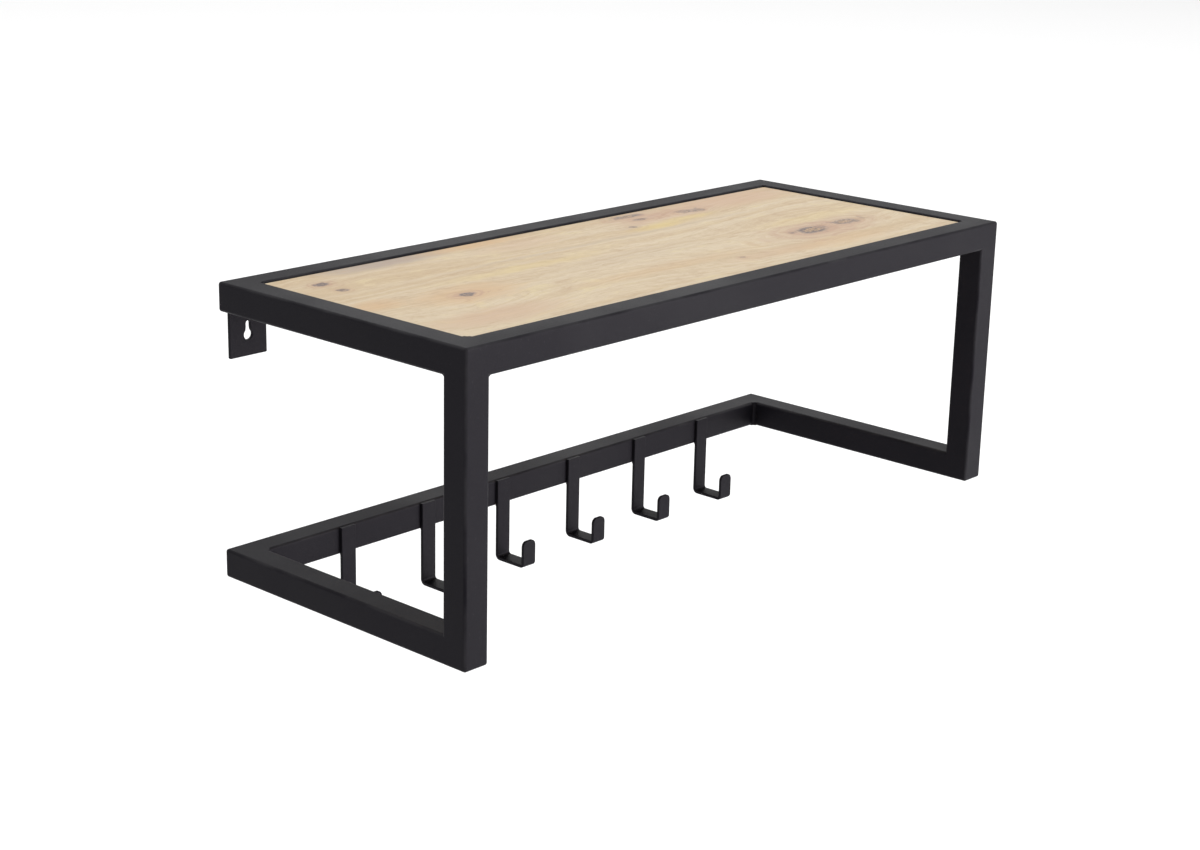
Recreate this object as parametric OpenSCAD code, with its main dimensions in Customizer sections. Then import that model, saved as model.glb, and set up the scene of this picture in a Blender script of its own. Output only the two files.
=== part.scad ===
// Wall coat rack with a wooden shelf and a row of hooks.
// X runs along the rack, +Y points into the wall and +Z is up.  The origin is on
// the wall plane, midway between the round openings of the two keyholes.

/* [Frame] */
// Overall length of the frame
frame_l = 700; // [560:5:1000]
// Overall depth of the frame, from the wall to the front of the posts
frame_d = 290; // [220:5:360]
// Height of the frame, from the underside of the lower rails to the top
frame_h = 255; // [200:5:340]
// Outside size of the square tube
tube = 25; // [20:1:30]
// Wall thickness of the tube
tube_wall = 1.5; // [1:0.5:2]
// Outside corner radius of the tube
tube_r = 2.5; // [2:0.5:3]

/* [Shelf board] */
// Gap between the board and the tubes around it
board_gap = 1; // [0.5:0.5:2]
// Depth of the board's top below the top of the frame
board_recess = 1.5; // [0:0.5:2]
// Extra length cut off each side of the board's corners, past the weld fillets
corner_play = 1.2; // [0.8:0.1:4]

/* [Board tabs] */
// Length of a tab along the rail it is welded to
tab_w = 30; // [20:1:40]
// Reach of a tab under the board
tab_reach = 22; // [16:1:30]
// Thickness of a tab
tab_t = 3; // [2:0.5:3]
// Distance of a tab's middle from the frame's end, as built into the long rails
tab_inset = 125; // [80:5:160]
// Radius of the two free corners of a tab
tab_corner = 5; // [2:1:8]

/* [Board screws] */
// Diameter of a screw's shank
screw_d = 4; // [3:0.5:5]
// Thickness of wood left over a screw's tip
screw_cover = 6; // [4:1:8]
// Diameter of a screw's head
screw_head_d = 8; // [7:0.5:10]
// Height of a screw's head
screw_head_h = 2.4; // [2:0.2:3]
// Extra diameter of the hole in a tab
tab_hole_play = 0.6; // [0.4:0.1:1]
// Gap between a screw and its hole in the board
pilot_play = 0.05; // [0.02:0.01:0.1]

/* [Hooks] */
// Distance from the frame's end to the middle of the first hook
hook_end = 112.5; // [60:2.5:130]
// Width of the flat bar
hook_w = 16; // [12:1:25]
// Thickness of the flat bar
hook_t = 3; // [2:0.5:4]
// Distance from the lower rails' underside down to the hooks' underside
hook_drop = 53; // [40:1:80]
// Distance from the rail's face to the front of a hook
hook_reach = 37; // [28:1:50]
// Height of the upturned lip, from the hook's underside
hook_lip = 26; // [18:1:34]
// Inside radius of the bend at the back
hook_back_r = 2.5; // [1:0.5:5]
// Inside radius of the bend at the front
hook_front_r = 1.5; // [1:0.5:5]
// Radius of the lip's two top corners
hook_tip_r = 5.5; // [3:0.5:6]
// Distance of a hook's top edge below the top of the rail
hook_top_gap = 0.5; // [0:0.5:3]

/* [Wall plates] */
// Width of a wall plate
plate_w = 38; // [30:1:50]
// Length of a plate below the rear rail
plate_drop = 41.5; // [35:0.5:60]
// Thickness of a plate
plate_t = 3; // [3:0.5:5]
// Distance of a plate's edge from the frame's end
plate_inset = 9; // [6:1:40]
// Diameter of a keyhole's round opening
key_d = 9; // [8:0.5:11]
// Width of a keyhole's slot
key_slot = 4.8; // [4:0.2:6]
// Rise from the round opening to the end of the slot, centre to centre
key_rise = 9.5; // [8:0.5:12]
// Height of the round opening's centre above the plate's lower edge
key_foot = 18; // [12:0.5:24]

/* [Welds] */
// Leg of the fillets under the top rails at the left post
left_fillet = 4.5; // [2:0.5:6]
// Leg of the fillets under the top rails at the right post
right_fillet = 2.5; // [2:0.5:6]
// Leg of the fillet inside the shelf frame's front left corner
shelf_left_fillet = 3; // [1:0.5:4.5]
// Leg of the fillets inside the shelf frame's other three corners
shelf_fillet = 1; // [1:0.5:4.5]
// Leg of the fillets inside the lower frame's rear corners
rear_fillet = 3; // [2:0.5:6]
// Leg of the bead behind each hook
hook_bead = 3; // [2:0.5:4]
// Leg of the beads around a wall plate
plate_bead = 4; // [3:0.5:5]
// Leg of the bead under each tab
tab_bead = 1; // [0.5:0.5:1.5]

/* [Hidden] */
$fn = 48;

steel = [0.16, 0.16, 0.17];
weld_steel = [0.2, 0.2, 0.21];
zinc = [0.72, 0.72, 0.74];
wood = [0.82, 0.68, 0.5];

hook_count = 6;
hook_pitch = (frame_l - 2 * hook_end) / (hook_count - 1);
eps = 0.01;
half_l = frame_l / 2;
half_tube = tube / 2;
tube_in_r = max(tube_r - tube_wall, 0.5);
// Heights of the frame, measured from the keyholes
under_z = plate_drop - key_foot;
top_z = under_z + tube;
low_z = top_z - frame_h;
low_top_z = low_z + tube;
// The tabs' beads sit just above the rounded edge of the rails, and the board fills
// the height from the tabs up to its recess
tab_z = under_z + tube_r + tab_bead;
board_bottom = tab_z + tab_t;
board_top = top_z - board_recess;
board_t = board_top - board_bottom;
screw_l = tab_t + board_t - screw_cover;
// A tab's hole is centred on the part of the tab that the board covers
tab_hole_y = (board_gap + tab_reach) / 2;
hook_low = low_z - hook_drop;
key_x = half_l - plate_inset - plate_w / 2;
// Half the angle over which the slot opens the round opening, and its flare
key_mouth = 40;
key_flare = 0.68 * key_rise;

// ---- Shapes that several pieces use ----

module rounded_square(size, r) {
  square([size, size - 2 * r], center = true);
  square([size - 2 * r, size], center = true);
  for (x = [-1, 1], y = [-1, 1])
    translate([x * (size / 2 - r), y * (size / 2 - r)]) circle(r);
}

// Square tube along +Z from 0 to len, or its solid outline when filled
module tube_stock(len, filled = false) {
  linear_extrude(len) difference() {
    rounded_square(tube, tube_r);
    if (!filled) rounded_square(tube - 2 * tube_wall, tube_in_r);
  }
}

// Tube between two places on X, centred on y and z
module tube_x(from, to, y, z, filled = false)
  translate([from, y, z]) rotate([90, 0, 90]) tube_stock(to - from, filled);

module tube_y(from, to, x, z, filled = false)
  translate([x, from, z]) rotate([-90, 0, 0]) tube_stock(to - from, filled);

module tube_z(from, to, x, y, filled = false)
  translate([x, y, from]) tube_stock(to - from, filled);

// Plan of the frame, with its outer corners dressed to the tube's radius
module plan() {
  translate([-half_l, -frame_d + tube_r]) square([frame_l, frame_d - 2 * tube_r]);
  translate([-half_l + tube_r, -frame_d]) square([frame_l - 2 * tube_r, frame_d]);
  for (x = [-1, 1], y = [tube_r, frame_d - tube_r])
    translate([x * (half_l - tube_r), -y]) circle(tube_r);
}

// Everything in a plan outline between two heights
module slab(low, high) translate([0, 0, low]) linear_extrude(high - low) children();

// A side outline drawn as (y, z), extruded across the frame's whole length
module side_slab()
  translate([-half_l - 1, 0, 0]) rotate([90, 0, 90]) linear_extrude(frame_l + 2)
    children();

// Side outline of one end: the post and the lower rail meet at its dressed corner
module side_outline() {
  translate([-frame_d + tube_r, low_z]) square([frame_d, frame_h]);
  translate([-frame_d, low_z + tube_r]) square([frame_d, frame_h]);
  translate([-frame_d + tube_r, low_z + tube_r]) circle(tube_r);
}

// Cross-section of a fillet whose flanks also reach back under rounded edges
module fillet_outline(leg) {
  difference() {
    translate([-tube_r, -tube_r]) square(leg + tube_r);
    translate([leg, leg]) circle(leg);
  }
}

module on_both_ends() {
  children();
  mirror([1, 0, 0]) children();
}

// ---- Shelf frame: four tubes mitred at their corners ----

module front_mitre() polygon([
  [-half_l, -frame_d], [half_l, -frame_d],
  [half_l - tube, -frame_d + tube], [-half_l + tube, -frame_d + tube]]);

module rear_mitre() polygon([
  [-half_l, 0], [half_l, 0], [half_l - tube, -tube], [-half_l + tube, -tube]]);

module left_mitre() polygon([
  [-half_l, 0], [-half_l + tube, -tube],
  [-half_l + tube, -frame_d + tube], [-half_l, -frame_d]]);

module front_rail_shape(filled = false) intersection() {
  tube_x(-half_l, half_l, -frame_d + half_tube, top_z - half_tube, filled);
  slab(under_z - 1, top_z + 1) intersection() { plan(); front_mitre(); }
}

module rear_rail_shape(filled = false) intersection() {
  tube_x(-half_l, half_l, -half_tube, top_z - half_tube, filled);
  slab(under_z - 1, top_z + 1) intersection() { plan(); rear_mitre(); }
}

module left_rail_shape(filled = false) intersection() {
  tube_y(-frame_d, 0, -half_l + half_tube, top_z - half_tube, filled);
  slab(under_z - 1, top_z + 1) intersection() { plan(); left_mitre(); }
}

module top_front_rail() color(steel) front_rail_shape();

module top_rear_rail() color(steel) rear_rail_shape();

module top_left_rail() color(steel) left_rail_shape();

module top_right_rail() mirror([1, 0, 0]) top_left_rail();

// ---- Posts and lower frame ----

module left_post() color(steel) intersection() {
  tube_z(low_z, under_z, -half_l + half_tube, -frame_d + half_tube);
  side_slab() intersection() {
    side_outline();
    polygon([[-frame_d, low_z], [-frame_d + tube, low_top_z],
             [-frame_d + tube, under_z], [-frame_d, under_z]]);
  }
}

module right_post() mirror([1, 0, 0]) left_post();

module lower_left_rail() color(steel) intersection() {
  tube_y(-frame_d, 0, -half_l + half_tube, low_z + half_tube);
  slab(low_z - 1, low_top_z + 1) intersection() {
    plan();
    polygon([[-half_l, 0], [-half_l + tube, -tube],
             [-half_l + tube, -frame_d], [-half_l, -frame_d]]);
  }
  side_slab() intersection() {
    side_outline();
    polygon([[-frame_d, low_z], [0, low_z], [0, low_top_z],
             [-frame_d + tube, low_top_z]]);
  }
}

module lower_right_rail() mirror([1, 0, 0]) lower_left_rail();

module hook_rail() color(steel) intersection() {
  tube_x(-half_l, half_l, -half_tube, low_z + half_tube);
  slab(low_z - 1, low_top_z + 1) intersection() { plan(); rear_mitre(); }
}

// ---- Hooks: flat bar bent to a J and welded to the rail's front face ----

// A quarter of a ring round the origin, in the lower left or lower right
module bend_outline(inner, right = false) {
  outer = inner + hook_t;
  intersection() {
    difference() { circle(outer); circle(inner); }
    translate([right ? 0 : -outer, -outer]) square(outer);
  }
}

// Side view of a hook: x is the distance out from the rail, y is the height
module hook_outline() {
  back_r = hook_back_r + hook_t;
  front_r = hook_front_r + hook_t;
  translate([0, hook_low + back_r])
    square([hook_t, low_top_z - hook_top_gap - hook_low - back_r]);
  translate([back_r, hook_low + back_r]) bend_outline(hook_back_r);
  translate([back_r, hook_low]) square([hook_reach - back_r - front_r, hook_t]);
  translate([hook_reach - front_r, hook_low + front_r]) bend_outline(hook_front_r, true);
  translate([hook_reach - hook_t, hook_low + front_r])
    square([hook_t, hook_lip - front_r]);
}

// What rounding the lip takes off its two top corners, in (x, z)
module lip_corner_cut() {
  for (side = [0, 1]) mirror([side, 0])
    translate([hook_w / 2 - hook_tip_r, hook_low + hook_lip - hook_tip_r]) difference() {
      square(hook_tip_r + 1);
      circle(hook_tip_r);
    }
}

module hook() color(steel) translate([0, -tube, 0]) difference() {
  translate([-hook_w / 2, 0, 0]) mirror([0, 1, 0]) rotate([90, 0, 90])
    linear_extrude(hook_w) hook_outline();
  translate([0, -hook_reach - 1, 0]) mirror([0, 1, 0]) rotate([90, 0, 0])
    linear_extrude(hook_t + 2) lip_corner_cut();
}

function hook_x(i) = (i - (hook_count + 1) / 2) * hook_pitch;

module place_hook(i) translate([hook_x(i), 0, 0]) hook();

// ---- Wall plates with their keyholes ----

module keyhole_outline() {
  circle(d = key_d);
  translate([-key_slot / 2, 0]) square([key_slot, key_rise]);
  translate([0, key_rise]) circle(d = key_slot);
  // The mouth of the slot flares out to the round opening
  mouth = key_d / 2 * [sin(key_mouth), cos(key_mouth)];
  polygon([[-mouth[0], mouth[1]], [mouth[0], mouth[1]],
           [key_slot / 2, key_flare], [-key_slot / 2, key_flare]]);
}

module right_wall_plate() color(steel) translate([key_x, 0, 0]) rotate([90, 0, 0])
  linear_extrude(plate_t) difference() {
    translate([-plate_w / 2, -key_foot]) square([plate_w, plate_drop]);
    keyhole_outline();
  }

module left_wall_plate() mirror([1, 0, 0]) right_wall_plate();

// ---- Shelf board, the tabs it lies on, and its screws ----

// A tab's place: side is -1 or 1 along X, row is -1 at the front and 1 at the rear
module at_tab(side, row)
  translate([side * (half_l - tab_inset), row < 0 ? -frame_d + tube : -tube, 0])
    mirror([0, row < 0 ? 0 : 1, 0]) children();

module at_each_tab() for (side = [-1, 1], row = [-1, 1]) at_tab(side, row) children();

module tab_outline() {
  translate([-tab_w / 2, 0]) square([tab_w, tab_reach - tab_corner]);
  translate([-tab_w / 2 + tab_corner, 0]) square([tab_w - 2 * tab_corner, tab_reach]);
  for (side = [-1, 1])
    translate([side * (tab_w / 2 - tab_corner), tab_reach - tab_corner]) circle(tab_corner);
}

module tab() color(steel) slab(tab_z, board_bottom) difference() {
  tab_outline();
  translate([0, tab_hole_y]) circle(d = screw_d + tab_hole_play);
}

// The leg of the weld fillet in one inside corner of the shelf frame
function corner_fillet(side, row) = side < 0 && row < 0 ? shelf_left_fillet : shelf_fillet;

// An inside corner of the shelf frame: side is -1 or 1 along X, row is -1 at the front
module at_shelf_corner(side, row)
  translate([side * (half_l - tube), row < 0 ? -frame_d + tube : -tube, 0])
    mirror([side < 0 ? 0 : 1, 0, 0]) mirror([0, row < 0 ? 0 : 1, 0]) children();

module board_outline() difference() {
  translate([-half_l + tube + board_gap, -frame_d + tube + board_gap])
    square([frame_l - 2 * (tube + board_gap), frame_d - 2 * (tube + board_gap)]);
  // The corners are cut off so that the board clears the weld fillets
  for (side = [-1, 1], row = [-1, 1]) at_shelf_corner(side, row) rotate(45)
    square(sqrt(2) * (corner_fillet(side, row) + corner_play), center = true);
}

module shelf_board() color(wood) difference() {
  slab(board_bottom, board_top) board_outline();
  at_each_tab() translate([0, tab_hole_y, board_bottom - eps])
    cylinder(d = screw_d + 2 * pilot_play, h = screw_l - tab_t + 1);
}

// Pan-head screw pointing up, its head under the tab
module screw() translate([0, tab_hole_y, tab_z]) {
  cylinder(d = screw_d, h = screw_l);
  rotate_extrude() intersection() {
    translate([0, -screw_head_h]) square([screw_head_d / 2, screw_head_h]);
    union() {
      translate([0, -screw_head_h]) square([screw_head_d / 2 - screw_head_h / 2, screw_head_h]);
      translate([0, -screw_head_h / 2]) square([screw_head_d / 2, screw_head_h / 2]);
      translate([screw_head_d / 2 - screw_head_h / 2, -screw_head_h / 2])
        circle(screw_head_h / 2);
    }
  }
}

module screw_recess() translate([0, tab_hole_y, tab_z - screw_head_h - eps])
  for (turn = [0, 90]) rotate(turn)
    translate([-screw_d / 2, -screw_d / 8, 0]) cube([screw_d, screw_d / 4, screw_head_h / 2]);

module board_screws() color(zinc) difference() {
  at_each_tab() screw();
  at_each_tab() screw_recess();
}

// ---- Welds, ground flush with the tubes' faces ----

// Solid outlines of the tubes, which the welds lie against
module top_rails_filled() {
  front_rail_shape(true);
  rear_rail_shape(true);
  on_both_ends() left_rail_shape(true);
}

module post_filled()
  tube_z(low_z, under_z, -half_l + half_tube, -frame_d + half_tube, true);

// Fill between a post's end and the rounded edges of the two rails over it
module post_end_fill() difference() {
  tube_z(under_z, under_z + tube_r, -half_l + half_tube, -frame_d + half_tube, true);
  top_rails_filled();
}

// Fillets under the front rail and under the side rail, against the left post.  They
// run between the rounded edges of the tubes
module post_fillets(leg) difference() {
  union() {
    translate([-half_l + tube, -frame_d + tube - tube_r, under_z]) rotate([90, 0, 0])
      mirror([0, 1, 0]) linear_extrude(tube - 2 * tube_r) fillet_outline(leg);
    translate([-half_l + tube_r, -frame_d + tube, under_z]) rotate([90, 0, 90])
      mirror([0, 1, 0]) linear_extrude(tube - 2 * tube_r) fillet_outline(leg);
  }
  top_rails_filled();
  post_filled();
  post_end_fill();
}

module post_welds() color(weld_steel) {
  on_both_ends() post_end_fill();
  post_fillets(left_fillet);
  mirror([1, 0, 0]) post_fillets(right_fillet);
}

// Vertical fillets inside the shelf frame's corners, flush with its top
module shelf_corner_welds() color(weld_steel) difference() {
  for (side = [-1, 1], row = [-1, 1]) at_shelf_corner(side, row)
    slab(under_z + tube_r, top_z) fillet_outline(corner_fillet(side, row));
  top_rails_filled();
}

// Vertical fillets inside the lower frame's rear corners
module hook_rail_welds() color(weld_steel) difference() {
  on_both_ends() translate([-half_l + tube, -tube, 0]) mirror([0, 1, 0])
    slab(low_z, low_top_z) fillet_outline(rear_fillet);
  tube_x(-half_l, half_l, -half_tube, low_z + half_tube, true);
  on_both_ends() tube_y(-frame_d, 0, -half_l + half_tube, low_z + half_tube, true);
}

// Bead in the groove between each hook's back and the rail's underside
module hook_welds() color(weld_steel) difference() {
  for (i = [1:hook_count])
    translate([hook_x(i) - hook_w / 2 + 1, -tube, low_z]) rotate([90, 0, 90])
      mirror([0, 1, 0]) linear_extrude(hook_w - 2) intersection() {
        fillet_outline(hook_bead);
        translate([0, -tube_r]) square(hook_bead + tube_r);
      }
  tube_x(-half_l, half_l, -half_tube, low_z + half_tube, true);
}

// Round end of a bead that wraps over a plate's edge, half as wide as its leg
module bead_end_outline() intersection() {
  translate([0, -tube_r]) square([plate_bead / 2, plate_bead + tube_r]);
  union() {
    translate([0, -tube_r]) square([plate_bead / 2, plate_bead / 2 + tube_r]);
    translate([0, plate_bead / 2]) circle(plate_bead / 2);
  }
}

// Beads round the top of a plate: in front of it, behind it and at its outer side
module plate_beads() difference() {
  union() {
    translate([key_x - plate_w / 2, -plate_t, under_z]) rotate([90, 0, 90]) rotate(180)
      linear_extrude(plate_w) fillet_outline(plate_bead);
    translate([key_x - plate_w / 2, -plate_t, under_z]) cube([plate_w, plate_t, tube_r]);
    translate([key_x + plate_w / 2, -plate_t, under_z]) rotate([-90, 0, 0])
      linear_extrude(plate_t) bead_end_outline();
  }
  top_rails_filled();
  translate([key_x - plate_w / 2, -plate_t, under_z - plate_drop])
    cube([plate_w, plate_t, plate_drop]);
}

module plate_welds() color(weld_steel) on_both_ends() plate_beads();

// Short bead under each tab, against the rail
module tab_welds() color(weld_steel) at_each_tab()
  translate([-tab_w / 2 + tab_bead, 0, tab_z]) rotate([90, 0, 90]) mirror([0, 1, 0])
    linear_extrude(tab_w - 2 * tab_bead) intersection() {
      fillet_outline(tab_bead);
      square(tab_bead);
    }

top_front_rail();
top_rear_rail();
top_left_rail();
top_right_rail();
left_post();
right_post();
lower_left_rail();
lower_right_rail();
hook_rail();
place_hook(1);  // hook_1
place_hook(2);  // hook_2
place_hook(3);  // hook_3
place_hook(4);  // hook_4
place_hook(5);  // hook_5
place_hook(6);  // hook_6
left_wall_plate();
right_wall_plate();
shelf_board();
at_tab(-1, -1) tab();  // front_left_tab
at_tab(1, -1) tab();  // front_right_tab
at_tab(-1, 1) tab();  // rear_left_tab
at_tab(1, 1) tab();  // rear_right_tab
board_screws();
post_welds();
shelf_corner_welds();
hook_rail_welds();
hook_welds();
plate_welds();
tab_welds();
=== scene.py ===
import math

import bmesh
import bpy
from mathutils import Matrix, Vector


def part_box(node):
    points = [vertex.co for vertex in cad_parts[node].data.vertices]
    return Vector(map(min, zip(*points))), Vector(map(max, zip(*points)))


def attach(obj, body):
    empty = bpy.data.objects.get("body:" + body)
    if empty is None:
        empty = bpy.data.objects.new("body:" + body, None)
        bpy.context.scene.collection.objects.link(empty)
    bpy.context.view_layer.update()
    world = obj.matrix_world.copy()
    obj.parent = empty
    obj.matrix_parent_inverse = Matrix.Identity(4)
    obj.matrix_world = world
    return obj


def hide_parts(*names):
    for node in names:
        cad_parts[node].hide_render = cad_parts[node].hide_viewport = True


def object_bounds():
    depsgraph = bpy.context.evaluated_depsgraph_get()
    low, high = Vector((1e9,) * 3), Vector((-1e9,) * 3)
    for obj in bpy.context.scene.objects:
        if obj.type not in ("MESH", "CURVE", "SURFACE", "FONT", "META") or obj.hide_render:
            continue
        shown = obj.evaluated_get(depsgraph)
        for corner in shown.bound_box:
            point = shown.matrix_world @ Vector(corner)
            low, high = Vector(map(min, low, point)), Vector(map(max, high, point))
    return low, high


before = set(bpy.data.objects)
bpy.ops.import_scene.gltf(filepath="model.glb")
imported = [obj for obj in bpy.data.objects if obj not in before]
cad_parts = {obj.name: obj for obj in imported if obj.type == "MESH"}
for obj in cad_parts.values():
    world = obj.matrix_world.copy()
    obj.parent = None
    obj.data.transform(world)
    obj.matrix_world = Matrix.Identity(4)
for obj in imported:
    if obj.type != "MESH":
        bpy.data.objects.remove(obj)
cad_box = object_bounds()
scene = bpy.context.scene


# ---- Frame tubes ---------------------------------------------------------------------
# Nine lengths of 25 mm square steel tube.  They are mitred and welded at the shelf
# frame and the lower frame, the welds are ground flush, and the whole frame is
# sprayed with black powder and baked, which leaves a matt, very finely pebbled skin.

MM = 0.001
frame_length = cad_box[1].x - cad_box[0].x
frame_depth = cad_box[1].y - cad_box[0].y
shelf_under, shelf_top = (corner.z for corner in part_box("top_front_rail"))
lower_under, lower_top = (corner.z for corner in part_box("hook_rail"))
tube_side = shelf_top - shelf_under
tube_corner = 2.5 * MM
weld_up = 0.01 * MM
crease_angle = math.radians(32)


def add(tree, kind, *inputs, **settings):
    """Adds a node.  The inputs go to its sockets in order: a socket, a value or None."""
    node = tree.nodes.new(kind)
    for name, value in settings.items():
        setattr(node, name, value)
    usable = [socket for socket in node.inputs if socket.enabled]
    for socket, value in zip(usable, inputs):
        if isinstance(value, bpy.types.NodeSocket):
            tree.links.new(value, socket)
        elif value is not None:
            socket.default_value = value
    return node


def first(node):
    return next(socket for socket in node.outputs if socket.enabled)


def maths(tree, operation, *inputs, clamp=False):
    return first(add(tree, "ShaderNodeMath", *inputs, operation=operation, use_clamp=clamp))


def parts(tree, vector):
    """The x, y and z of a vector."""
    return add(tree, "ShaderNodeSeparateXYZ", vector).outputs[:]


def joined(tree, x, y, z):
    return first(add(tree, "ShaderNodeCombineXYZ", x, y, z))


def between(tree, value, low, high, to_low=0.0, to_high=1.0):
    """Eases from to_low to to_high while value goes from low to high."""
    return first(add(tree, "ShaderNodeMapRange", value, low, high, to_low, to_high,
                     interpolation_type="SMOOTHSTEP"))


def noise(tree, where, scale, detail=2.0, rough=0.5):
    made = add(tree, "ShaderNodeTexNoise")
    tree.links.new(where, made.inputs["Vector"])
    made.inputs["Scale"].default_value = scale
    made.inputs["Detail"].default_value = detail
    made.inputs["Roughness"].default_value = rough
    return first(made)


def mixed(tree, share, under, over):
    """Lays a colour over another by its share.  A colour is a socket or (r, g, b)."""
    node = add(tree, "ShaderNodeMix", data_type="RGBA")
    sockets = {socket.identifier: socket for socket in node.inputs}
    for key, value in (("Factor_Float", share), ("A_Color", under), ("B_Color", over)):
        if isinstance(value, bpy.types.NodeSocket):
            tree.links.new(value, sockets[key])
        else:
            sockets[key].default_value = value if key == "Factor_Float" else (*value, 1)
    return next(socket for socket in node.outputs if socket.identifier == "Result_Color")


def bump(tree, height, depth, under=None):
    """Raises the surface by the height, which goes from 0 to 1, times the depth."""
    node = add(tree, "ShaderNodeBump")
    node.inputs["Distance"].default_value = depth
    tree.links.new(height, node.inputs["Height"])
    if under is not None:
        tree.links.new(under, node.inputs["Normal"])
    return first(node)


def blank_finish(name):
    """A new material, its tree, its shader and its coordinates in metres."""
    made = bpy.data.materials.new(name)
    made.use_nodes = True
    tree = made.node_tree
    where = tree.nodes.new("ShaderNodeTexCoord").outputs["Object"]
    return made, tree, tree.nodes["Principled BSDF"], where


def powder_coat():
    """Black powder coat: cloudy at arm's length, pebbled close up, and paler on its edges, partly from
    real rubbed wear and partly as a painted highlight.
    """
    made, tree, shader, where = blank_finish("black_powder_coat")
    cloud = between(tree, noise(tree, where, 9), 0.3, 0.7)
    pebble = noise(tree, where, 900)
    grit = noise(tree, where, 3200, 3, 0.6)
    edge = add(tree, "ShaderNodeAttribute", attribute_name="edge").outputs["Fac"]
    rubbed_edge_and_highlight = maths(tree, "MULTIPLY", edge, between(tree, noise(tree, where, 25, 4), 0.30, 0.75))
    tone = mixed(tree, cloud, (0.0035, 0.0032, 0.0046), (0.0054, 0.0049, 0.0068))
    tone = mixed(tree, between(tree, grit, 0.62, 0.8, 0, 0.5), tone, (0.026, 0.026, 0.028))
    specks = between(tree, noise(tree, where, 520, 3, 0.6), 0.64, 0.74, 0, 0.55)
    tone = mixed(tree, specks, tone, (0.024, 0.023, 0.026))
    # Paler colour on the rounded edges: partly rubbed wear, partly a painted highlight standing in for the
    # light line along the corners
    tone = mixed(tree, maths(tree, "MULTIPLY", rubbed_edge_and_highlight, 0.55), tone, (0.034, 0.033, 0.035))
    tree.links.new(tone, shader.inputs["Base Color"])
    dull = between(tree, cloud, 0, 1, 0.50, 0.58)
    dull = maths(tree, "SUBTRACT", dull, maths(tree, "MULTIPLY", rubbed_edge_and_highlight, 0.10))
    tree.links.new(dull, shader.inputs["Roughness"])
    shader.inputs["Specular IOR Level"].default_value = 0.09
    shader.inputs["Specular Tint"].default_value = (0.95, 0.87, 1.0, 1)
    skin = bump(tree, grit, 0.03 * MM, bump(tree, pebble, 0.10 * MM))
    tree.links.new(skin, shader.inputs["Normal"])
    return made


coat = powder_coat()


def new_tree(name, sizes):
    """A Geometry Nodes tree with a named number for each size, and those numbers' sockets."""
    tree = bpy.data.node_groups.new(name, "GeometryNodeTree")
    tree.interface.new_socket("Geometry", in_out="OUTPUT", socket_type="NodeSocketGeometry")
    for label, value in sizes.items():
        kind = "NodeSocketInt" if isinstance(value, int) else "NodeSocketFloat"
        tree.interface.new_socket(label, in_out="INPUT", socket_type=kind).default_value = value
    inputs = tree.nodes.new("NodeGroupInput")
    return tree, {socket.name: socket for socket in inputs.outputs}


def close_tree(tree, geometry, finish):
    """Ends a tree: creases where faces meet sharply, smooth elsewhere, real, and coated."""
    turned = add(tree, "GeometryNodeInputMeshEdgeAngle").outputs["Unsigned Angle"]
    crease = maths(tree, "GREATER_THAN", turned, crease_angle)
    smooth = first(add(tree, "GeometryNodeSetShadeSmooth", geometry, None, True, domain="FACE"))
    creased = first(add(tree, "GeometryNodeSetShadeSmooth", smooth, crease, False, domain="EDGE"))
    real = first(add(tree, "GeometryNodeRealizeInstances", creased))
    coated = first(add(tree, "GeometryNodeSetMaterial", real, None, finish))
    ending = tree.nodes.new("NodeGroupOutput")
    tree.links.new(coated, ending.inputs["Geometry"])


def grown(name, tree, sizes):
    """Runs a tree once with these sizes and returns its result as a plain mesh."""
    blank = bpy.data.objects.new(name, bpy.data.meshes.new(name + "_start"))
    scene.collection.objects.link(blank)
    modifier = blank.modifiers.new(name, "NODES")
    modifier.node_group = tree
    for socket in tree.interface.items_tree:
        if socket.in_out == "INPUT" and socket.name in sizes:
            modifier[socket.identifier] = sizes[socket.name]
    blank.modifiers.new("even_faces", "WEIGHTED_NORMAL").keep_sharp = True
    graph = bpy.context.evaluated_depsgraph_get()
    mesh = bpy.data.meshes.new_from_object(
        blank.evaluated_get(graph), preserve_all_data_layers=True, depsgraph=graph)
    mesh.name = name
    bpy.data.objects.remove(blank)
    finish = mesh.materials[-1]
    mesh.materials.clear()
    mesh.materials.append(finish)
    return mesh


def fitted(name, mesh, node):
    """Shows a finished mesh as a piece, in place of its plain CAD node."""
    piece = bpy.data.objects.new(name, mesh)
    scene.collection.objects.link(piece)
    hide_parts(node)
    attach(piece, "root")
    return piece


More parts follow.
